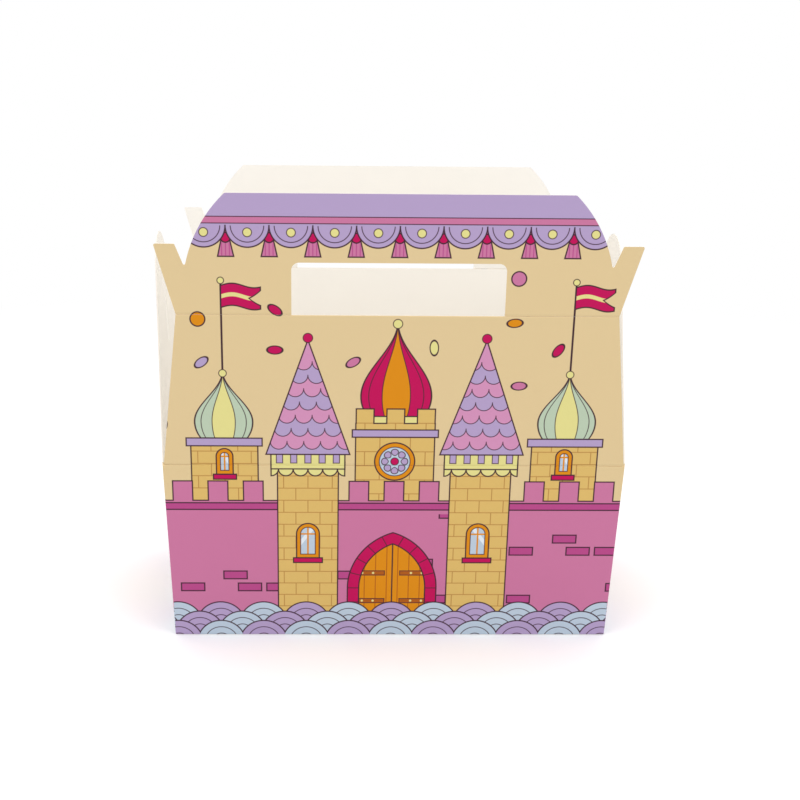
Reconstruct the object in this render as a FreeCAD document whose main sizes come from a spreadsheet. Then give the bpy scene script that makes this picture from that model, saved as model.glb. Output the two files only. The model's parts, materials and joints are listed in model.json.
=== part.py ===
import FreeCAD, Part
import math
import os
import re

import Sketcher

# A party carton cut from one sheet of thin board and folded up: four walls that flare a little
# towards the top, a base of four tucked flaps, and above the walls the two roof panels with
# their handle panels and the two pointed side flaps, all standing open.
# The frame: +Z up, the printed front faces -Y, and the origin is the middle of the base.

doc = FreeCAD.newDocument("castle_carton")

# Driving dimensions, in millimetres and degrees.
SIZES = [
    ("card", 0.5, "thickness of the board"),
    ("base_width", 184.4, "outside width at the base"),
    ("base_depth", 94.4, "outside depth at the base"),
    ("eaves_width", 190.0, "outside width at the eaves crease"),
    ("eaves_depth", 100.0, "outside depth at the eaves crease"),
    ("eaves_rise", 77.9, "height of the eaves crease above the base"),
    ("corner_radius", 0.7, "outside radius of the folded corners"),
    ("crease_gap", 0.1, "clearance under a panel's rounded foot"),
    ("corner_gap", 0.2, "clearance between neighbouring panels at a corner"),
    ("roof_length", 63.5, "roof panel, from the eaves crease to the handle crease"),
    ("ridge_width", 174.6, "width of the roof panel at the handle crease"),
    ("roof_lean", 3.0, "how far the roof panels lean outward"),
    ("handle_length", 47.5, "handle panel, from its crease to its top edge"),
    ("handle_top_width", 134.4, "straight top edge of the handle panel"),
    ("handle_lean", 2.4, "how far the handle panels lean outward"),
    ("shoulder_radius", 54.0, "radius of the handle's rounded shoulders"),
    ("shoulder_corner", 1.2, "radius where a shoulder meets the top edge"),
    ("notch_width", 166.4, "distance between the bottoms of the two notches"),
    ("notch_rise", 18.4, "height of a notch's bottom above the handle crease"),
    ("notch_radius", 0.5, "radius in the bottom of a notch"),
    ("ear_span", 190.2, "distance between the outer tips of the two ears"),
    ("ear_top", 8.2, "width of an ear's flat top"),
    ("ear_rise", 27.8, "height of an ear above the handle crease"),
    ("ear_corner", 0.6, "radius of an ear's corners"),
    ("slot_width", 83.9, "width of the hand slot"),
    ("slot_height", 20.7, "height of the hand slot above the handle crease"),
    ("slot_corner", 3.0, "radius of the hand slot's upper corners"),
    ("flap_length", 88.0, "side flap, from the eaves crease to its tip"),
    ("flap_tip_radius", 17.0, "radius of a side flap's rounded tip"),
    ("left_flap_lean", 3.6, "how far the left side flap leans outward"),
    ("right_flap_lean", 0.8, "how far the right side flap leans outward"),
    ("slit_gap", 0.3, "clearance round the ears in a side flap's slit"),
    ("handle_gap", 0.3, "space between the two handle panels when the roof is shut"),
    ("glue_tab_width", 15.0, "glue tab along the inside of the left wall"),
    ("glue_tab_end", 4.0, "how far the glue tab stops short of the base and the rim"),
    ("tuck_length", 42.0, "side base flaps, from the wall to their free edge"),
    ("tuck_taper", 9.0, "how far each side base flap narrows on both sides"),
    ("base_seam", 0.4, "width of the seam between the front and back base flaps"),
    ("tongue_root", 64.0, "width of the back base flap's tongue where it starts"),
    ("tongue_tip", 50.0, "width of the tongue at its end"),
    ("tongue_length", 12.0, "how far the tongue reaches past the middle"),
]

# Points closer than this are the same point.
NEAR = 0.0001

sheet = doc.addObject("Spreadsheet::Sheet", "sizes")
for row, (name, number, meaning) in enumerate(SIZES, start=1):
    sheet.set(f"A{row}", name)
    sheet.set(f"B{row}", str(number))
    sheet.set(f"C{row}", meaning)
    sheet.setAlias(f"B{row}", name)
doc.recompute()


def cells(formula):
    """The formula as an expression on the sheet's cells."""
    names = {name for name, number, meaning in SIZES}
    return re.sub(r"[a-z_]+", lambda word: ("sizes." if word[0] in names else "") + word[0], formula)


def value(formula):
    """What the formula comes to with the sizes as they are."""
    return float(sheet.evalExpression(cells(formula)))


# Places that several panels share, each worked out from the sizes.
HINGE_Y = "( eaves_depth - card ) / 2"
HINGE_X = "( eaves_width - card ) / 2"
RIM_Z = "eaves_rise - card / 2 - crease_gap"
RIDGE_Y = f"( {HINGE_Y} + roof_length * sin( roof_lean ) )"
RIDGE_Z = "( eaves_rise + roof_length * cos( roof_lean ) )"
ROOF_FOOT = "( eaves_width / 2 - card - corner_gap )"
FLAP_FOOT = "( eaves_depth / 2 - card - corner_gap )"
# With the roof shut the handle panels stand face to face, this high above the eaves.
SHUT_REACH = f"( {HINGE_Y} - card / 2 - handle_gap / 2 )"
SHUT_RISE = f"sqrt( roof_length ^ 2 - {SHUT_REACH} ^ 2 )"


def wall_size(foot, eaves, height):
    """The walls' outside size at a height above the base."""
    return f"( {foot} + ( {eaves} - {foot} ) * ( {height} ) / eaves_rise )"


def new_body(name):
    """An empty body whose label names its file."""
    body = doc.addObject("PartDesign::Body", name)
    body.Label = name
    return body


def new_sketch(body, name, role, lift=None):
    """A sketch on one of the body's own origin planes, lifted off it by a formula."""
    sketch = body.newObject("Sketcher::SketchObject", name)
    plane = next(f for f in body.Origin.OriginFeatures if f.Role == role)
    sketch.AttachmentSupport = (plane, [""])
    sketch.MapMode = "FlatFace"
    if lift:
        sketch.setExpression("AttachmentOffset.Base.z", cells(lift))
    return sketch


def pin_point(sketch, edge, end, across, up):
    """Holds the end of an edge at two formulas, measured from the sketch's origin."""
    for kind, axis, formula in (("DistanceX", -2, across), ("DistanceY", -1, up)):
        if formula == "0":
            sketch.addConstraint(Sketcher.Constraint("PointOnObject", edge, end, axis))
            continue
        limit = Sketcher.Constraint(kind, -1, 1, edge, end, value(formula))
        sketch.setExpression(f"Constraints[{sketch.addConstraint(limit)}]", cells(formula))


def hold_radius(sketch, arc, formula):
    """Holds an arc's radius at a formula."""
    limit = Sketcher.Constraint("Radius", arc, value(formula))
    sketch.setExpression(f"Constraints[{sketch.addConstraint(limit)}]", cells(formula))


def bulging_edge(here, there, radius):
    """An arc of the given radius from here to there that swells to the right of the way."""
    chord = there - here
    inward = FreeCAD.Vector(-chord.y, chord.x, 0).normalize()
    centre = (here + there) / 2 + inward * math.sqrt(radius**2 - (chord.Length / 2) ** 2)
    start = math.atan2(here.y - centre.y, here.x - centre.x)
    end = math.atan2(there.y - centre.y, there.x - centre.x)
    circle = Part.Circle(centre, FreeCAD.Vector(0, 0, 1), radius)
    return Part.ArcOfCircle(circle, start, end if end > start else end + 2 * math.pi)


def add_outline(sketch, corners, bulges=None):
    """A closed outline through corners, pairs of formulas listed anticlockwise.

    bulges gives the radius of each edge that is an arc, by the number of its first corner.
    """
    bulges = bulges or {}
    spots = [FreeCAD.Vector(value(across), value(up), 0) for across, up in corners]
    first = sketch.GeometryCount
    for number, (here, there) in enumerate(zip(spots, spots[1:] + spots[:1])):
        if number in bulges:
            sketch.addGeometry(bulging_edge(here, there, value(bulges[number])), False)
        else:
            sketch.addGeometry(Part.LineSegment(here, there), False)
    for number, (across, up) in enumerate(corners):
        edge = first + number
        before = first + (number - 1) % len(corners)
        sketch.addConstraint(Sketcher.Constraint("Coincident", before, 2, edge, 1))
        pin_point(sketch, edge, 1, across, up)
    for number, radius in bulges.items():
        hold_radius(sketch, first + number, radius)


def mirrored(right):
    """The right-hand corners, bottom to top, and their mirror images, top to bottom."""
    return right + [(f"0 - {across}", up) for across, up in reversed(right)]


def add_rectangle(sketch, wide, deep):
    """A rectangle about the sketch's origin."""
    add_outline(sketch, mirrored([(f"{wide} / 2", f"0 - {deep} / 2"), (f"{wide} / 2", f"{deep} / 2")]))


def add_rounded_rectangle(sketch, wide, deep, radius):
    """A rectangle about the sketch's origin with round corners."""
    right = [
        (f"( {wide} / 2 - {radius} )", f"0 - {deep} / 2"),
        (f"{wide} / 2", f"{radius} - {deep} / 2"),
        (f"{wide} / 2", f"{deep} / 2 - {radius}"),
        (f"( {wide} / 2 - {radius} )", f"{deep} / 2"),
    ]
    add_outline(sketch, mirrored(right), {corner: radius for corner in (0, 2, 4, 6)})


def edges_through(shape, spots):
    """Names of the edges through the thickness of a flat panel at the given outline points."""
    found = []
    for number, edge in enumerate(shape.Edges, start=1):
        ends = [vertex.Point for vertex in edge.Vertexes]
        run = ends[-1] - ends[0]
        across = run.Length > NEAR and math.hypot(run.x, run.z) < NEAR
        if across and any(math.hypot(ends[0].x - x, ends[0].z - z) < NEAR for x, z in spots):
            found.append(f"Edge{number}")
    return found


def round_edges(body, name, edges, radius):
    """Rounds the named edges of the body as it stands."""
    base = body.Tip
    fillet = body.newObject("PartDesign::Fillet", name)
    fillet.Base = (base, edges)
    fillet.setExpression("Radius", cells(radius))
    doc.recompute()


def pad(body, name, sketch, length):
    """Pads a sketch by the same amount to both sides of its plane."""
    feature = body.newObject("PartDesign::Pad", name)
    feature.Profile = sketch
    feature.SideType = "Symmetric"
    feature.setExpression("Length", cells(length))
    doc.recompute()
    return feature


def cut_through(body, name, sketch):
    """Cuts a sketch right through the panel, to both sides of its plane."""
    before = body.Shape.Volume
    pocket = body.newObject("PartDesign::Pocket", name)
    pocket.Profile = sketch
    pocket.SideType = "Symmetric"
    pocket.Type = "ThroughAll"
    doc.recompute()
    assert body.Shape.Volume < before, f"{name} cut nothing"


def cut_down(body, name, sketch, depth, reverse):
    """Cuts a sketch into the base by a depth, upward from below if reverse is set."""
    before = body.Shape.Volume
    pocket = body.newObject("PartDesign::Pocket", name)
    pocket.Profile = sketch
    pocket.Reversed = reverse
    pocket.setExpression("Length", cells(depth))
    doc.recompute()
    assert body.Shape.Volume < before, f"{name} cut nothing"


def pad_rounded_foot(body, half_width):
    """The half-round foot that turns in the crease, along the panel's lower edge."""
    section = new_sketch(body, f"{body.Name}_foot_section", "YZ_Plane")
    radius = value("card / 2")
    circle = Part.Circle(FreeCAD.Vector(0, 0, 0), FreeCAD.Vector(0, 0, 1), radius)
    arc = section.addGeometry(Part.ArcOfCircle(circle, -math.pi, 0), False)
    outer, inner = FreeCAD.Vector(-radius, 0, 0), FreeCAD.Vector(radius, 0, 0)
    flat = section.addGeometry(Part.LineSegment(inner, outer), False)
    section.addConstraint(Sketcher.Constraint("Coincident", arc, 3, -1, 1))
    section.addConstraint(Sketcher.Constraint("Coincident", arc, 2, flat, 1))
    section.addConstraint(Sketcher.Constraint("Coincident", flat, 2, arc, 1))
    section.addConstraint(Sketcher.Constraint("Horizontal", flat))
    hold_radius(section, arc, "card / 2")
    doc.recompute()
    pad(body, f"{body.Name}_foot", section, f"2 * {half_width}")


def place(body, across, back, up, turn, lean):
    """Stands a panel on its crease, turned to face its own wall and leaning outward."""
    spot = f"vector( {cells(across)} ; {cells(back)} ; {cells(up)} )"
    body.setExpression("Placement", f"placement( {spot} ; rotation( {turn} ; 0 ; {cells(lean)} ) )")


def make_walls_and_base(name):
    """The folded walls, the glue tab inside the left one and the tucked base flaps."""
    body = new_body(name)

    foot = new_sketch(body, "walls_at_base", "XY_Plane")
    add_rounded_rectangle(foot, "base_width", "base_depth", "corner_radius")
    rim = new_sketch(body, "walls_at_rim", "XY_Plane", RIM_Z)
    rim_wide = wall_size("base_width", "eaves_width", RIM_Z)
    rim_deep = wall_size("base_depth", "eaves_depth", RIM_Z)
    add_rounded_rectangle(rim, rim_wide, rim_deep, "corner_radius")
    doc.recompute()
    block = body.newObject("PartDesign::AdditiveLoft", "walls_outside")
    block.Profile = foot
    block.Sections = [rim]
    block.Ruled = True
    doc.recompute()

    floor_z = "2 * card"
    floor_wide = wall_size("base_width", "eaves_width", floor_z)
    floor_deep = wall_size("base_depth", "eaves_depth", floor_z)
    floor = new_sketch(body, "hollow_at_floor", "XY_Plane", floor_z)
    add_rectangle(floor, f"( {floor_wide} - 2 * card )", f"( {floor_deep} - 2 * card )")
    mouth = new_sketch(body, "hollow_at_rim", "XY_Plane", RIM_Z)
    add_rectangle(mouth, f"( {rim_wide} - 2 * card )", f"( {rim_deep} - 2 * card )")
    doc.recompute()
    hollow = body.newObject("PartDesign::SubtractiveLoft", "hollow")
    hollow.Profile = floor
    hollow.Sections = [mouth]
    hollow.Ruled = True
    doc.recompute()

    # The glue tab is one more card thickness on the left wall's inner face, from the back corner.
    for level, height in (("low", "glue_tab_end"), ("high", f"{RIM_Z} - glue_tab_end")):
        outline = new_sketch(body, f"glue_tab_{level}", "XY_Plane", height)
        wide = wall_size("base_width", "eaves_width", height)
        deep = wall_size("base_depth", "eaves_depth", height)
        outer = f"( card / 2 - {wide} / 2 )"
        inner = f"( 2 * card - {wide} / 2 )"
        corner = f"( {deep} / 2 - card / 2 )"
        free_edge = f"( {deep} / 2 - card - glue_tab_width )"
        add_outline(outline, [(outer, free_edge), (inner, free_edge), (inner, corner), (outer, corner)])
    doc.recompute()
    tab = body.newObject("PartDesign::AdditiveLoft", "glue_tab")
    tab.Profile = doc.getObject("glue_tab_low")
    tab.Sections = [doc.getObject("glue_tab_high")]
    tab.Ruled = True
    doc.recompute()

    # Between the free edges of the two side base flaps the floor is a single card thick.
    between = new_sketch(body, "between_tucked_flaps", "XY_Plane", floor_z)
    reach = "( base_width / 2 - card - tuck_length )"
    wall_fold = "( base_depth / 2 - 2 * card )"
    add_outline(between, mirrored([
        ("( base_width / 2 - 2 * card )", f"0 - {wall_fold}"),
        (reach, f"tuck_taper - {wall_fold}"),
        (reach, f"{wall_fold} - tuck_taper"),
        ("( base_width / 2 - 2 * card )", wall_fold),
    ]))
    doc.recompute()
    cut_down(body, "tucked_flap_edges", between, "card", reverse=False)

    # Underneath, the front and back flaps meet along a seam that goes round the tongue.
    seam = new_sketch(body, "base_seam_outline", "XY_Plane")
    path = [("( base_width / 2 - 2 * card )", "0"), ("tongue_root / 2", "0")]
    path.append(("tongue_tip / 2", "( 0 - tongue_length )"))
    back_edge = mirrored([(across, f"{up} + base_seam / 2") for across, up in path])
    front_edge = mirrored([(across, f"{up} - base_seam / 2") for across, up in path])
    add_outline(seam, back_edge + front_edge[::-1])
    doc.recompute()
    cut_down(body, "base_seam_cut", seam, "card", reverse=True)

    ends = new_sketch(body, "base_flap_ends", "XY_Plane")
    for side in ("", "0 - "):
        inner = f"{side}( base_width / 2 - 2 * card - base_seam )"
        outer = f"{side}( base_width / 2 - 2 * card )"
        half = "( base_depth / 2 - 2 * card )"
        add_outline(ends, [(inner, f"0 - {half}"), (outer, f"0 - {half}"), (outer, half), (inner, half)])
    doc.recompute()
    cut_down(body, "base_flap_end_cuts", ends, "card", reverse=True)
    return body


def make_roof_panel(name, facing, turn):
    """A roof panel, which narrows from the eaves crease up to the handle crease."""
    body = new_body(name)
    outline = new_sketch(body, f"{name}_outline", "XZ_Plane")
    top = "( roof_length - card / 2 - crease_gap )"
    add_outline(outline, mirrored([(ROOF_FOOT, "0"), ("ridge_width / 2", top)]))
    doc.recompute()
    pad(body, f"{name}_sheet", outline, "card")
    pad_rounded_foot(body, ROOF_FOOT)
    place(body, "0", f"{facing} {HINGE_Y}", "eaves_rise", turn, "roof_lean")
    return body


def make_handle_panel(name, facing, turn):
    """A handle panel with its hand slot, two hooked ears and rounded shoulders."""
    body = new_body(name)
    outline = new_sketch(body, f"{name}_outline", "XZ_Plane")
    ear_inner = "( ear_span / 2 - ear_top )"
    right = [
        ("ridge_width / 2", "0"),
        ("ear_span / 2", "ear_rise"),
        (ear_inner, "ear_rise"),
        ("notch_width / 2", "notch_rise"),
        ("handle_top_width / 2", "handle_length"),
    ]
    add_outline(outline, mirrored(right), {3: "shoulder_radius", 5: "shoulder_radius"})
    doc.recompute()
    pad(body, f"{name}_sheet", outline, "card")

    for word, radius, corner in (
        ("ear_outer", "ear_corner", right[1]),
        ("ear_inner", "ear_corner", right[2]),
        ("notch", "notch_radius", right[3]),
        ("shoulder", "shoulder_corner", right[4]),
    ):
        x, z = value(corner[0]), value(corner[1])
        edges = edges_through(body.Shape, [(x, z), (-x, z)])
        round_edges(body, f"{name}_{word}_rounding", edges, radius)

    pad_rounded_foot(body, "( ridge_width / 2 )")
    slot = new_sketch(body, f"{name}_slot_outline", "XZ_Plane")
    side = "slot_width / 2"
    add_outline(slot, mirrored([
        (side, "0 - card"),
        (side, "slot_height - slot_corner"),
        (f"( {side} - slot_corner )", "slot_height"),
    ]), {1: "slot_corner", 3: "slot_corner"})
    doc.recompute()
    cut_through(body, f"{name}_slot", slot)
    place(body, "0", f"{facing} {RIDGE_Y}", RIDGE_Z, turn, "handle_lean")
    return body


def make_side_flap(name, facing, turn, lean):
    """A pointed side flap with the slit that the ears hook through."""
    body = new_body(name)
    outline = new_sketch(body, f"{name}_outline", "XZ_Plane")
    tip_centre = "( flap_length - flap_tip_radius )"
    reach = f"sqrt( {FLAP_FOOT} ^ 2 + {tip_centre} ^ 2 )"
    bearing = f"( acos( flap_tip_radius / {reach} ) - atan( {tip_centre} / {FLAP_FOOT} ) )"
    add_outline(outline, mirrored([
        (FLAP_FOOT, "0"),
        (f"flap_tip_radius * cos( {bearing} )", f"{tip_centre} + flap_tip_radius * sin( {bearing} )"),
    ]), {1: "flap_tip_radius"})
    doc.recompute()
    pad(body, f"{name}_sheet", outline, "card")
    pad_rounded_foot(body, FLAP_FOOT)

    # The slit takes both ears, from the handle crease's corner up to the ears' outer tips.
    slit = new_sketch(body, f"{name}_slit_outline", "XZ_Plane")
    half = "( card + handle_gap / 2 + slit_gap )"
    low = f"( sqrt( ( {HINGE_X} - ridge_width / 2 ) ^ 2 + {SHUT_RISE} ^ 2 ) - slit_gap )"
    ear_inner = "( ear_span / 2 - ear_top )"
    high = f"( sqrt( ( {HINGE_X} - {ear_inner} ) ^ 2 + ( {SHUT_RISE} + ear_rise ) ^ 2 ) + slit_gap )"
    add_outline(slit, mirrored([(half, low), (half, high)]))
    doc.recompute()
    cut_through(body, f"{name}_slit", slit)
    place(body, f"{facing} {HINGE_X}", "0", "eaves_rise", turn, lean)
    return body


bodies = [
    make_walls_and_base("carton_body"),
    make_roof_panel("front_roof_panel", "0 -", "0"),
    make_roof_panel("back_roof_panel", "", "180"),
    make_handle_panel("front_handle_panel", "0 -", "0"),
    make_handle_panel("back_handle_panel", "", "180"),
    make_side_flap("left_side_flap", "0 -", "0 - 90", "left_flap_lean"),
    make_side_flap("right_side_flap", "", "90", "right_flap_lean"),
]
doc.recompute()

for item in doc.Objects:
    assert not {"Invalid", "Error"} & set(item.State), f"{item.Name} failed: {item.State}"
for body in bodies:
    assert not body.Shape.isNull() and body.Shape.isValid(), f"{body.Label} has no valid shape"
    assert len(body.Shape.Solids) == 1, f"{body.Label} is not one solid"

os.makedirs("parts", exist_ok=True)
for body in bodies:
    body.Shape.exportStep(f"parts/{body.Label}.step")
    print(body.Label, round(body.Shape.Volume, 1), body.Shape.BoundBox)
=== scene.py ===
"""A party carton of printed board, standing open, with a castle printed on its outside."""

import json
import math

import bpy
from mathutils import Matrix, Vector


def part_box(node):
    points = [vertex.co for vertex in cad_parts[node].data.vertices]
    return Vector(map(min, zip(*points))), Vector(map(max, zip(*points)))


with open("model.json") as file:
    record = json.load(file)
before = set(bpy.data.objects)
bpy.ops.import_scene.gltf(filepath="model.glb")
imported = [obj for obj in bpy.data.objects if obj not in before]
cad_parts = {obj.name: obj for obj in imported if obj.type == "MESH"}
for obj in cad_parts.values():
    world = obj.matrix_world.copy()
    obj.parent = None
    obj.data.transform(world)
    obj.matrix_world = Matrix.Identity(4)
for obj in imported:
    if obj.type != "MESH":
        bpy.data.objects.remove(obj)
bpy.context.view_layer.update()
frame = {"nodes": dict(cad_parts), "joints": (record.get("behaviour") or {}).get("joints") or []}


# The print is measured in millimetres: across from the middle of a panel, and up from the base.
# The panels stand so nearly upright that their height does for the length along them.
MM = 1000.0
crease_height = {joint["name"]: joint["pos_m"][2] * MM for joint in frame["joints"]}
EAVES = crease_height["front_roof_crease"]
RIDGE = crease_height["front_handle_crease"]
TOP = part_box("front_handle_panel")[1][2] * MM
FRONT_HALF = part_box("carton_body")[1][0] * MM
SIDE_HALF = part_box("carton_body")[1][1] * MM

# Drawn lines, how soft the edge of an ink is, and a depth that is safely below the base.
LINE = 0.55
THIN_LINE = 0.36
SOFT = 0.24
BELOW = -9.0

# Half the width of a pressed crease, and how sharply the print ends at a cut edge.
FOLD_HALF = 0.6
CRISP = 0.1

# The height of the printed curtain wall, without its merlons.
WALL_TOP = 62.0

# What repeats along the walls fits from the middle of the front to the middle of a side.
TURN = FRONT_HALF + SIDE_HALF
MERLON_PITCH = TURN / 10
WAVE_PITCH = TURN / 8


def ink(red, green, blue):
    """A colour given as it looks, from 0 to 255, as the shaders want it."""
    def straight(number):
        level = number / 255
        return level / 12.92 if level <= 0.04045 else ((level + 0.055) / 1.055) ** 2.4
    return (straight(red), straight(green), straight(blue), 1.0)


def grey(level):
    """A grey of this strength, where 1 is white."""
    return (level, level, level, 1.0)


WHITE = grey(1.0)
OUTLINE = ink(62, 34, 48)
SKY = ink(228, 203, 155)
LAVENDER = ink(183, 162, 203)
PINK = ink(205, 121, 162)
ROSE_PINK = ink(214, 148, 188)
ROSE = ink(186, 74, 138)
MAGENTA = ink(196, 2, 88)
ORANGE = ink(224, 142, 12)
RUST = ink(176, 92, 20)
LEMON = ink(231, 223, 146)
MINT = ink(190, 207, 182)
GOLD = ink(224, 188, 110)
BROWN = ink(186, 136, 72)
GLASS = ink(192, 208, 224)
GLINT = ink(230, 238, 246)
INSIDE = ink(253, 249, 242)
RAW_EDGE = ink(243, 236, 226)


class Signal:
    """A number or colour that varies over a surface. Sums written with it lay Math nodes."""

    def __init__(self, press, socket):
        self.press = press
        self.socket = socket

    def __add__(self, other):
        return self.press.work("ADD", self, other)

    def __radd__(self, other):
        return self.press.work("ADD", other, self)

    def __sub__(self, other):
        return self.press.work("SUBTRACT", self, other)

    def __rsub__(self, other):
        return self.press.work("SUBTRACT", other, self)

    def __mul__(self, other):
        return self.press.work("MULTIPLY", self, other)

    def __rmul__(self, other):
        return self.press.work("MULTIPLY", other, self)

    def __truediv__(self, other):
        return self.press.work("DIVIDE", self, other)

    def __rtruediv__(self, other):
        return self.press.work("DIVIDE", other, self)

    def __neg__(self):
        return self.press.work("MULTIPLY", self, -1.0)

    def __abs__(self):
        return self.press.work("ABSOLUTE", self)

    def __gt__(self, other):
        return self.press.work("GREATER_THAN", self, other)


class Press:
    """Lays the nodes of one node tree."""

    def __init__(self, tree):
        self.tree = tree

    def lay(self, kind, settings=None, inputs=None, output=0):
        """A node of this kind: its settings first, then values or links in its sockets.

        It gives the signal of one output, or of all of them by name if output is None.
        """
        node = self.tree.nodes.new(kind)
        for name, setting in (settings or {}).items():
            if name == "bands":
                self.band(node.color_ramp, setting)
            else:
                setattr(node, name, setting)
        for key, given in (inputs or {}).items():
            if isinstance(given, Signal):
                self.tree.links.new(given.socket, node.inputs[key])
            else:
                node.inputs[key].default_value = given
        if output is None:
            return {socket.name: Signal(self, socket) for socket in node.outputs}
        return Signal(self, node.outputs[output])

    def band(self, ramp, colours):
        """Makes equal bands of plain colours on a ramp."""
        ramp.interpolation = "CONSTANT"
        while len(ramp.elements) < len(colours):
            ramp.elements.new(1.0)
        for number, colour in enumerate(colours):
            ramp.elements[number].position = number / len(colours)
            ramp.elements[number].color = colour

    def work(self, operation, *given):
        """One Math node on signals and numbers."""
        return self.lay("ShaderNodeMath", {"operation": operation}, dict(enumerate(given)))

    def limit(self, share):
        """A number kept between 0 and 1. A Math node that clamps would use up the shader's memory."""
        return self.lay("ShaderNodeClamp", None, {0: share})

    def least(self, first, *others):
        """The smallest of several distances: inside any of their shapes."""
        for other in others:
            first = self.work("MINIMUM", first, other)
        return first

    def most(self, first, *others):
        """The largest of several distances: inside all of their shapes."""
        for other in others:
            first = self.work("MAXIMUM", first, other)
        return first

    def inside(self, distance, soft=SOFT):
        """1 inside a shape and 0 outside, from the distance past its edge."""
        return self.limit(self.work("MULTIPLY_ADD", distance, -1 / soft, 0.5))

    def blend(self, under, over, amount, mode="MIX"):
        """The colour over laid on the colour under."""
        settings = {"data_type": "RGBA", "blend_type": mode, "clamp_factor": True}
        return self.lay("ShaderNodeMix", settings, {0: amount, 6: under, 7: over}, 2)

    def length(self, across, up):
        """How far a point is from the origin."""
        return self.work("SQRT", self.work("MULTIPLY_ADD", across, across, up * up))

    def repeat(self, place, period):
        """Where a place lies in its repeat, from minus half a period to half a period."""
        return self.work("WRAP", place, period / 2, -period / 2)

    def count(self, place, period):
        """Which repeat a place lies in."""
        return self.work("FLOOR", place / period + 0.5)

    def chances(self, across, up, salt):
        """Three numbers from 0 to 1 drawn for each pair of whole numbers."""
        point = self.lay("ShaderNodeCombineXYZ", None, {0: across, 1: up, 2: salt})
        settings = {"noise_dimensions": "3D"}
        drawn = self.lay("ShaderNodeTexWhiteNoise", settings, {"Vector": point}, "Color")
        return list(self.lay("ShaderNodeSeparateColor", None, {0: drawn}, None).values())

    def pick(self, chosen, colours):
        """One of the colours, in equal shares, for a number from 0 to 1."""
        return self.lay("ShaderNodeValToRGB", {"bands": colours}, {0: chosen})


class Picture:
    """A print built up ink by ink over a panel."""

    def __init__(self, press, across, up, ground):
        self.press = press
        self.across = across
        self.up = up
        self.colour = ground

    def fill(self, colour, cover):
        """Lays a colour where cover is 1."""
        self.colour = self.press.blend(self.colour, colour, cover)

    def line(self, distance, cover=None, width=LINE, colour=OUTLINE):
        """Draws a line along a shape's edge, where cover is 1."""
        drawn = self.press.inside(abs(distance) - width / 2)
        self.fill(colour, drawn if cover is None else drawn * cover)

    def shape(self, distance, colour, width=LINE):
        """Fills a shape and draws its outline."""
        self.fill(colour, self.press.inside(distance))
        self.line(distance, width=width)

    def block(self, across, low, high, half):
        """A rectangle between two heights."""
        return self.press.most(abs(across) - half, abs(self.up - (low + high) / 2) - (high - low) / 2)

    def disc(self, across, height, radius):
        """A disc about a height."""
        return self.press.length(across, self.up - height) - radius

    def arch(self, across, foot, spring, half):
        """An opening that stands on foot, with a round head that starts at spring."""
        above = self.press.most(self.up - spring, 0.0)
        return self.press.most(self.press.length(across, above) - half, foot - self.up)

    def spire(self, across, foot, tip, half):
        """A pointed roof."""
        slope = math.atan2(half, tip - foot)
        side = abs(across) * math.cos(slope) + (self.up - tip) * math.sin(slope)
        return self.press.most(side, foot - self.up)

    def battlements(self, across, low, high, pitch, share):
        """A wall's top edge with merlons, one of them in the middle."""
        merlon = abs(self.press.repeat(across, pitch)) - pitch * share / 2
        return self.press.least(self.up - low, self.press.most(merlon, self.up - high))

    def scallops(self, across, hem, pitch):
        """What lies above a hem of round scallops."""
        round_edge = self.disc(self.press.repeat(across, pitch), hem, pitch / 2)
        return self.press.least(hem - self.up, round_edge)

    def brick_joints(self, across, length, height):
        """Distance to the joints of a running bond."""
        press = self.press
        shifted = across + press.count(self.up, height) * (length / 2)
        level = height / 2 - abs(press.repeat(self.up, height))
        upright = length / 2 - abs(press.repeat(shifted, length))
        return press.least(level, upright)


def strew_confetti(picture, skyline):
    """Outlined dots and ovals strewn over the sky, clear of the castle and of the valance."""
    press = picture.press
    pitch, drift = 15.6, 7.0
    column, row = press.count(picture.across, pitch), press.count(picture.up, pitch)
    place_draw, form_draw = 6.0, 7.0
    aside, above, turn = press.chances(column, row, place_draw)
    across = press.repeat(picture.across, pitch) + (aside - 0.5) * drift
    up = press.repeat(picture.up, pitch) + (above - 0.5) * drift
    angle = turn * math.pi
    cosine, sine = press.work("COSINE", angle), press.work("SINE", angle)
    along = across * cosine + up * sine
    over = up * cosine - across * sine
    oval = press.length(along * 0.68, over * 1.25) - 2.1
    dot = press.length(across, up) - 2.9
    form, chance, colour = press.chances(column, row, form_draw)
    share_of_ovals, share_left_out = 0.66, 0.24
    spot = oval + (form > share_of_ovals) * (dot - oval)

    above_wall, below_top, margin = 16.0, 29.0, 3.6
    middle = Picture(press, picture.across - across, picture.up - up, None)
    low, high = WALL_TOP + above_wall, TOP - below_top
    room = press.least(skyline(middle), middle.up - low, high - middle.up)
    shown = (chance > share_left_out) * (room > margin)
    colours = [ORANGE, MINT, MAGENTA, LEMON, PINK, LAVENDER]
    picture.fill(press.pick(colour, colours), press.inside(spot) * shown)
    picture.line(spot, shown)


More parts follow.
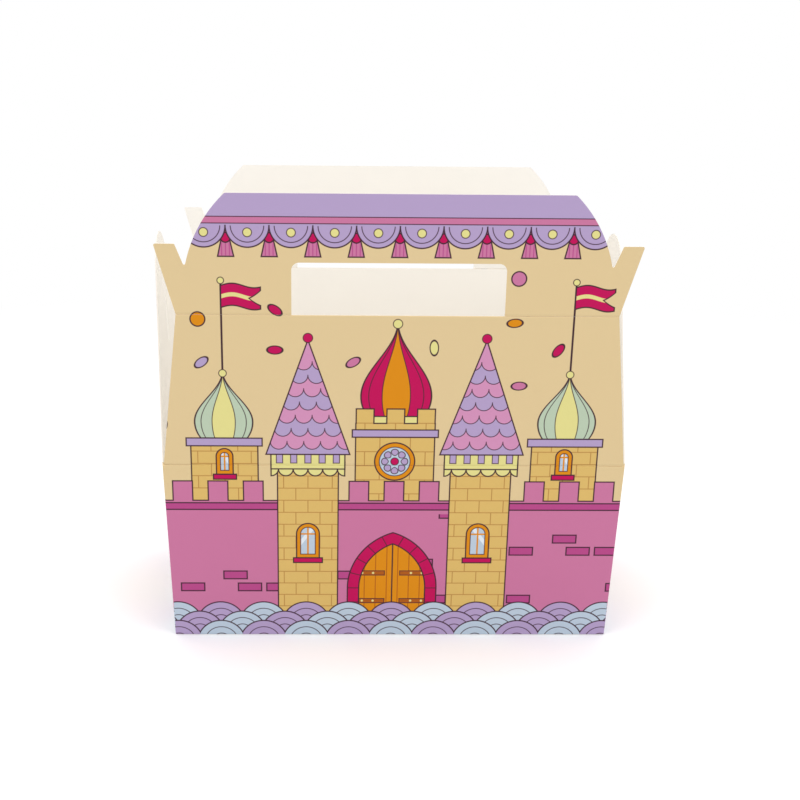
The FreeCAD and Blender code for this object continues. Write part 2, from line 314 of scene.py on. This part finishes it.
def hang_valance(picture):
    """A scalloped trim along the top edge, with a tassel between each two scallops."""
    press, across = picture.press, picture.across
    pitch, hem, end, last_tassel = 16.8, TOP - 12.5, 81.5, 76.0
    between = press.repeat(across, pitch)
    tassels = press.inside(abs(across) - last_tassel)
    skirt = picture.spire(between, hem - 12.0, hem + 2.0, 3.1)
    picture.fill(PINK, press.inside(skirt) * tassels)
    strands = press.inside(skirt + 0.4) * press.inside(picture.up - hem + 6.0) * tassels
    picture.line(press.repeat(between, 1.5), strands, THIN_LINE, ROSE)
    picture.line(skirt, tassels)
    knot = picture.disc(between, hem - 4.6, 1.9)
    picture.fill(MAGENTA, press.inside(knot) * tassels)
    picture.line(knot, tassels)

    cloth = press.most(picture.scallops(across + pitch / 2, hem, pitch), abs(across) - end)
    picture.shape(cloth, LAVENDER)
    place = press.repeat(across + pitch / 2, pitch)
    stitching = press.inside(cloth) * press.inside(picture.up - hem)
    picture.line(picture.disc(place, hem, pitch / 2 - 2.0), stitching, THIN_LINE)
    ribbon = press.most(abs(picture.up - hem - 2.2) - 1.3, abs(across) - end)
    picture.shape(ribbon, PINK, THIN_LINE)
    picture.shape(picture.disc(place, hem - 2.6, 1.7), LEMON, THIN_LINE)


def paint_window(picture, across, foot, half):
    """An arched window with an orange frame, two mullions and a glint on its glass."""
    press = picture.press
    spring = foot + 2.3 * half
    picture.shape(picture.block(across, foot - 2.2, foot, half + 1.3), MAGENTA)
    picture.shape(picture.arch(across, foot, spring, half), ORANGE)
    pane = picture.arch(across, foot + 1.7, spring, half - 1.7)
    picture.fill(GLASS, press.inside(pane))
    glint = abs(across * 0.8 + (picture.up - spring) * 0.6) - 0.8
    picture.fill(GLINT, press.inside(glint) * press.inside(pane))
    bars = press.least(abs(across), abs(picture.up - spring)) - 0.35
    picture.fill(ORANGE, press.inside(bars) * press.inside(pane))
    picture.line(pane, width=THIN_LINE)


def paint_bricks(picture, body, across, length, height):
    """Fills a shape with a running bond of brick and draws its outline."""
    cover = picture.press.inside(body)
    picture.fill(GOLD, cover)
    picture.line(picture.brick_joints(across, length, height), cover, THIN_LINE, BROWN)
    picture.line(body)


def paint_tower(picture, across, half, top, tip):
    """A round tower: brick courses, a corbelled parapet and a cone with rows of round shingles."""
    press = picture.press
    paint_bricks(picture, picture.block(across, BELOW, top, half), across, half * 0.8, 5.4)
    paint_window(picture, across, 36.0, half * 0.38)

    parapet = half + 2.6
    corbel = press.repeat(across + parapet / 5, parapet * 2 / 5)
    corbels = press.most(picture.disc(corbel, top, parapet / 5), abs(across) - parapet)
    picture.shape(corbels, LEMON)
    picture.shape(picture.block(across, top, top + 6.4, parapet), LEMON)
    notch = picture.block(press.repeat(across, parapet / 2.6), top + 2.6, top + 9.0, parapet * 0.085)
    picture.shape(press.most(notch, abs(across) - parapet, picture.up - top - 6.4), LAVENDER, THIN_LINE)

    eaves, rows = top + 6.4, 8
    cone = picture.spire(across, eaves, tip, half + 4.6)
    covered = press.inside(cone)
    picture.fill(LAVENDER, covered)
    for row in range(1, rows):
        shingles = picture.scallops(across + 1.7 * row, eaves + (tip - eaves) / (rows + 0.6) * row, 6.8)
        picture.fill((LAVENDER, ROSE_PINK)[row % 2], press.inside(shingles) * covered)
        picture.line(shingles, covered, THIN_LINE)
    picture.line(cone)
    picture.shape(picture.disc(across, tip + 0.8, 1.9), MAGENTA, THIN_LINE)


def fly_flag(picture, across, foot, tip):
    """A swallow-tailed flag on a pole with a ball on its end."""
    press = picture.press
    picture.fill(OUTLINE, press.inside(picture.block(across, foot, tip + 1.5, 0.4)))
    wave = abs(picture.up - tip + 4.6 - press.work("SINE", across * 0.36) * 0.9)
    cleft = (across - 11.0) * 0.66 - wave
    sheet = press.most(-across, wave - 4.4, across - 15.5, cleft)
    picture.shape(sheet, MAGENTA)
    picture.fill(LEMON, press.inside(press.most(sheet + 0.3, wave - 0.8)))
    picture.shape(picture.disc(across, tip + 1.8, 1.3), LEMON, THIN_LINE)


def paint_dome(picture, across, foot, radius, tip, skin, gore):
    """An onion dome on a short drum, ribbed, with a middle gore of another colour."""
    press, up = picture.press, picture.up
    belly = foot + radius * 0.6
    picture.shape(picture.block(across, foot - 6.0, foot + 0.6, radius * 0.8), LEMON)
    sink = press.limit((belly - up) / radius)
    rise = press.limit((up - belly) / (tip - belly))
    swell = press.work("SQRT", 1.0 - sink * sink) * (press.work("COSINE", rise * math.pi) + 1.0) / 2
    dome = press.most((abs(across) - swell * radius) * 0.86, foot - up, up - tip)
    cover = press.inside(dome)
    picture.fill(skin, cover)
    for share in (0.78, 0.4):
        rib = abs(across) - swell * (radius * share)
        if share < 0.5:
            picture.fill(gore, press.inside(rib) * cover)
        picture.line(rib, cover, THIN_LINE)
    picture.line(dome)
    picture.shape(picture.disc(across, tip - 1.0, radius * 0.13), LEMON, THIN_LINE)


def paint_hall(picture, across, half, top):
    """A brick hall with a small window, a cornice and a dome."""
    paint_dome(picture, across, top + 2.4, half * 0.86, top + 31.0, MINT, LEMON)
    paint_bricks(picture, picture.block(across, BELOW, top, half), across, half * 0.8, 5.4)
    paint_window(picture, across, top - 13.4, 3.4)
    picture.shape(picture.block(across, top - 1.0, top + 2.4, half + 1.8), LAVENDER)


def paint_keep(picture):
    """The keep in the middle: brick courses, merlons, a rose window and the largest dome."""
    press, across = picture.press, picture.across
    half, top, pitch = 16.1, 96.0, 12.4
    paint_dome(picture, across, top + 3.0, 14.2, RIDGE - 2.6, MAGENTA, ORANGE)
    wall = press.most(picture.battlements(across, top, top + 6.2, pitch, 0.58), abs(across) - half)
    paint_bricks(picture, wall, across, pitch, 6.2)
    picture.shape(picture.block(across, top - 6.0, top - 2.8, half + 1.4), LAVENDER)

    # The rose window has eight round petals about a boss.
    centre, radius = top - 16.6, 8.2
    picture.shape(picture.disc(across, centre, radius), ORANGE)
    glass = picture.disc(across, centre, radius - 1.9)
    picture.fill(GLASS, press.inside(glass))
    turn = press.work("ARCTAN2", picture.up - centre, across)
    petal = press.length(press.repeat(turn, math.pi / 4) * 4.0, glass + 2.3) - 1.4
    picture.shape(petal, LAVENDER, THIN_LINE)
    picture.line(glass, width=THIN_LINE)
    picture.shape(picture.disc(across, centre, 1.6), MAGENTA, THIN_LINE)


def paint_wall(picture):
    """The curtain wall, with merlons, a string course and a few bricks that show."""
    press, across = picture.press, picture.across
    top = WALL_TOP
    wall = picture.battlements(across, top, top + 8.6, MERLON_PITCH, 0.56)
    cover = press.inside(wall)
    picture.fill(PINK, cover)

    length, height, joint, bare_share, draw = 12.0, 5.6, 1.0, 0.82, 3.0
    row = press.count(picture.up, height)
    shifted = across + row * (length / 2)
    shown = press.chances(press.count(shifted, length), row, draw)[0] > bare_share
    beside = abs(press.repeat(shifted, length)) - (length / 2 - joint - 0.1)
    brick = press.most(beside, abs(press.repeat(picture.up, height)) - (height / 2 - joint))
    laid = shown * press.inside(picture.up - top + 6.0)
    picture.fill(ROSE, press.inside(brick) * laid)
    picture.line(brick, laid)

    picture.line(wall)
    picture.shape(abs(picture.up - top + 2.6) - 1.5, ROSE)


def paint_gate(picture):
    """The pointed gate: an arch of wedge stones round planked doors with strap hinges."""
    press = picture.press
    half, spring, swing, stone = 14.0, 22.0, 8.0, 4.8
    across = abs(picture.across) + swing
    stones = picture.arch(across, BELOW, spring, half + swing + stone)
    picture.fill(MAGENTA, press.inside(stones))
    turn = press.work("ARCTAN2", press.most(picture.up - spring, 0.0), across)
    along = turn * (half + swing + stone / 2) + press.least(picture.up - spring, 0.0)
    picture.line(press.repeat(along, 6.6), press.inside(stones), THIN_LINE)
    picture.line(stones)

    doors = picture.arch(across, BELOW, spring, half + swing)
    cover = press.inside(doors)
    picture.fill(ORANGE, cover)
    plank = half / 3
    picture.line(press.repeat(picture.across + plank / 2, plank), cover, THIN_LINE, RUST)
    for level in (16.0, 29.0):
        strap = press.most(abs(picture.up - level) - 1.0, 3.2 - abs(picture.across))
        picture.fill(RUST, press.inside(strap) * cover)
        picture.line(strap, cover, THIN_LINE)
        bolt = press.length(press.repeat(abs(picture.across) - 8.0, 4.6), picture.up - level) - 0.5
        picture.fill(LEMON, press.inside(bolt) * cover * press.inside(4.4 - abs(picture.across)))
    picture.line(picture.across, cover)
    picture.line(doors)


def paint_moat(picture):
    """Rows of round waves along the foot of the walls, in two colours by turns."""
    press = picture.press
    radius = WAVE_PITCH * 0.56
    for row, level in enumerate((5.2, 0.8, -3.6)):
        along = picture.across + row * WAVE_PITCH / 2
        ring = picture.disc(press.repeat(along, WAVE_PITCH), level, radius)
        odd = abs(press.repeat(press.count(along, WAVE_PITCH), 2))
        picture.shape(press.least(ring, picture.up - level), press.blend(LAVENDER, GLASS, odd))
        curls = press.inside(ring) * press.inside(level - picture.up)
        for step in (0.3, 0.6):
            picture.line(ring + radius * step, curls, THIN_LINE)


def paint_front(picture):
    """The castle on the front and the back, over wall, roof and handle panels."""
    towers, halls = 35.5, 69.5

    def skyline(place):
        """How far a place is above the roofs and flags."""
        half = abs(place.across)
        pole = place.press.repeat(place.across + halls, 2 * halls)
        flags = place.block(pole - 7.5, BELOW, 154.0, 8.5)
        cones = place.spire(half - towers, BELOW, 138.0, 42.0)
        domes = place.block(half - halls, BELOW, 112.0, 13.0)
        keep = place.block(place.across, BELOW, 112.0, 18.0)
        dome = place.spire(place.across, BELOW, 154.0, 36.0)
        slot = place.block(place.across, RIDGE, RIDGE + 20.0, 42.0)
        return place.press.least(flags, cones, domes, keep, dome, slot)

    strew_confetti(picture, skyline)
    pole = picture.press.repeat(picture.across + halls, 2 * halls)
    fly_flag(picture, pole, 114.0, 153.0)
    paint_hall(picture, pole, 13.6, 87.0)
    paint_keep(picture)
    paint_wall(picture)
    paint_tower(picture, abs(picture.across) - towers, 12.5, 76.0, 131.0)
    paint_gate(picture)
    paint_moat(picture)
    hang_valance(picture)


def paint_side(picture):
    """The tower and wall on each side, over the side wall and its flap."""
    strew_confetti(picture, lambda place: place.spire(place.across, BELOW, 156.0, 42.0))
    paint_wall(picture)
    paint_tower(picture, picture.across, 17.0, 84.0, 142.0)
    paint_moat(picture)


def picture_group(name, paint):
    """A node group that gives the print's colour at a place."""
    tree = bpy.data.node_groups.new(name, "ShaderNodeTree")
    tree.interface.new_socket("Across", in_out="INPUT", socket_type="NodeSocketFloat")
    tree.interface.new_socket("Up", in_out="INPUT", socket_type="NodeSocketFloat")
    tree.interface.new_socket("Ink", in_out="OUTPUT", socket_type="NodeSocketColor")
    press = Press(tree)
    place = press.lay("NodeGroupInput", output=None)
    picture = Picture(press, place["Across"], place["Up"], SKY)
    paint(picture)
    press.lay("NodeGroupOutput", None, {0: picture.colour}, None)
    return tree


def blank_material(name):
    """A new material without nodes, and the press that lays them."""
    material = bpy.data.materials.new(name)
    material.use_nodes = True
    material.node_tree.nodes.clear()
    return material, Press(material.node_tree)


def board_material(name, on_front, on_side, creases):
    """Board printed on its outer face, plain inside, raw along its cut edges and folded at creases."""
    material, press = blank_material(name)
    surface = press.lay("ShaderNodeTexCoord", output=None)
    spot = surface["Object"]
    place = press.lay("ShaderNodeSeparateXYZ", None, {0: spot}, None)
    x, y, z = (place[axis] * MM for axis in "XYZ")
    facing = press.lay("ShaderNodeSeparateXYZ", None, {0: surface["Normal"]}, None)
    behind, beside = press.work("SIGN", y), press.work("SIGN", x)
    front_facing, side_facing = facing["Y"] * behind, facing["X"] * beside

    # Where the surface faces in it is the plain side, and along the sheet it is a cut edge.
    inward = press.least(front_facing, side_facing)
    colour = press.blend(RAW_EDGE, INSIDE, press.inside(inward + 0.5, 0.2))

    # The print covers what faces out. At a crease the sheet runs on, so there it covers the
    # edges of the panels too.
    out_enough, edges_too = 0.6, 0.8
    crease = press.least(*(abs(z - level) for level in creases))
    folded = press.inside(crease - FOLD_HALF, CRISP)
    printed = 0.0
    for group, across, outward, depth in (
        (on_front, x * behind * -1.0, front_facing, SIDE_HALF - abs(y)),
        (on_side, y * beside, side_facing, FRONT_HALF - abs(x)),
    ):
        if group:
            picture = press.lay("ShaderNodeGroup", {"node_tree": group}, {0: across, 1: z})
            rim = folded * press.inside(depth - 2 * FOLD_HALF, CRISP)
            shown = press.inside(out_enough - outward - rim * edges_too, CRISP)
            colour = press.blend(colour, picture, shown)
            printed = shown + printed

    # Painted shade makes the coat a little darker just above a crease, and a painted highlight makes it
    # paler just below it.
    painted_crease_shade, painted_crease_highlight = 0.07, 0.08
    fibre = press.lay("ShaderNodeTexNoise", None, {"Vector": spot, "Scale": 2600.0, "Detail": 3.0})
    cloud = press.lay("ShaderNodeTexNoise", None, {"Vector": spot, "Scale": 60.0, "Detail": 2.0})
    tone = 0.98 + fibre * 0.02 + cloud * 0.01
    for level in creases:
        tone = tone - press.inside(abs(z - level - 0.35) - 0.15, 0.5) * printed * painted_crease_shade
        tone = tone + press.inside(abs(z - level + 0.45) - 0.2, 0.5) * printed * painted_crease_highlight
    # This tone multiplies the colour by the board's random mottling and by the painted crease shade and
    # highlight.
    mottle_and_crease_shading = press.lay("ShaderNodeCombineColor", None, {0: tone, 1: tone, 2: tone})
    colour = press.blend(colour, mottle_and_crease_shading, 1.0, "MULTIPLY")

    relief = fibre * 0.12 - press.inside(crease - 0.2, 0.6) * 0.8
    groove = {"Strength": 0.35, "Distance": 0.00006, "Height": relief}
    shader = press.lay("ShaderNodeBsdfPrincipled", None, {
        "Base Color": colour,
        "Roughness": 0.66 - printed * 0.2 + fibre * 0.12,
        "Specular IOR Level": 0.18,
        "Normal": press.lay("ShaderNodeBump", None, groove),
    })
    press.lay("ShaderNodeOutputMaterial", None, {0: shader}, None)
    return material


def dress(material, *nodes):
    """Gives nodes of the carton their material."""
    for node in nodes:
        mesh = frame["nodes"][node].data
        mesh.materials.clear()
        mesh.materials.append(material)


def seen_directly(press):
    """1 for what the camera sees, also in a mirror or through glass, and 0 for other light."""
    path = press.lay("ShaderNodeLightPath", output=None)
    return press.most(path["Is Camera Ray"], path["Is Glossy Ray"], path["Is Transmission Ray"])


def lay_floor():
    """A plain white floor that keeps the carton's shadow and turns into the white backdrop."""
    half, gap, bounce = 6.0, 0.0002, 0.65
    corners = [(-half, -half, 0), (half, -half, 0), (half, half, 0), (-half, half, 0)]
    mesh = bpy.data.meshes.new("floor")
    mesh.from_pydata(corners, [], [(0, 1, 2, 3)])
    floor = bpy.data.objects.new("floor", mesh)
    bpy.context.scene.collection.objects.link(floor)
    floor.location.z = -gap
    material, press = blank_material("white_paper_floor")
    looked_at = seen_directly(press)
    tone = press.blend(grey(bounce), WHITE, looked_at)
    paper = press.lay("ShaderNodeBsdfDiffuse", None, {"Color": tone})
    backdrop = press.lay("ShaderNodeEmission", None, {"Color": WHITE})
    spot = press.lay("ShaderNodeTexCoord", output="Object")
    away = press.lay("ShaderNodeVectorMath", {"operation": "LENGTH"}, {0: spot}, "Value")
    start, end = 0.2, 0.7
    fade = press.limit((away - start) / (end - start))
    shader = press.lay("ShaderNodeMixShader", None, {0: fade * looked_at, 1: paper, 2: backdrop})
    press.lay("ShaderNodeOutputMaterial", None, {0: shader}, None)
    mesh.materials.append(material)


def light_world(level):
    """A white surround that lights the carton evenly."""
    world = bpy.data.worlds.new("studio")
    world.use_nodes = True
    world.node_tree.nodes.clear()
    press = Press(world.node_tree)
    tone = press.blend(grey(level), WHITE, seen_directly(press))
    shader = press.lay("ShaderNodeBackground", None, {"Color": tone})
    press.lay("ShaderNodeOutputWorld", None, {0: shader}, None)
    bpy.context.scene.world = world


def hang_softbox(name, spot, size, watts):
    """A large square lamp that points at the middle of the carton."""
    lamp = bpy.data.lights.new(name, "AREA")
    lamp.energy = watts
    lamp.size = size
    box = bpy.data.objects.new(name, lamp)
    box.location = spot
    aim = Vector((0, 0, EAVES / MM)) - Vector(spot)
    box.rotation_euler = aim.to_track_quat("-Z", "Y").to_euler()
    bpy.context.scene.collection.objects.link(box)


def place_camera():
    """The camera stands in front, a little to the left, and looks down on the carton."""
    camera = bpy.data.cameras.new("camera")
    camera.sensor_width = 36.0
    camera.lens = 55.04
    camera.shift_x = 0.063
    camera.clip_start = 0.01
    stand = bpy.data.objects.new("camera", camera)
    eye = Matrix.Translation((-0.0288, -0.5235, 0.2434))
    yaw = Matrix.Rotation(math.radians(-1.22), 4, "Z")
    pitch = Matrix.Rotation(math.radians(90 - 16.23), 4, "X")
    roll = Matrix.Rotation(math.radians(0.59), 4, "Z")
    stand.matrix_world = eye @ yaw @ pitch @ roll
    bpy.context.scene.collection.objects.link(stand)
    bpy.context.scene.camera = stand


front_print = picture_group("front_print", paint_front)
side_print = picture_group("side_print", paint_side)
dress(board_material("printed_walls", front_print, side_print, (EAVES,)), "carton_body")
roof_nodes = [node for node in frame["nodes"] if node.startswith(("front_", "back_"))]
dress(board_material("printed_roof", front_print, None, (EAVES, RIDGE)), *roof_nodes)
dress(board_material("printed_flaps", None, side_print, (EAVES,)), "left_side_flap", "right_side_flap")

lay_floor()
light_world(0.96)
hang_softbox("left_softbox", (-1.3, -1.2, 1.5), 1.0, 4.0)
hang_softbox("right_softbox", (1.3, -1.2, 1.5), 1.0, 4.0)
hang_softbox("top_softbox", (0.0, 0.0, 1.8), 1.0, 8.0)
place_camera()
bpy.context.scene.view_settings.view_transform = "Standard"
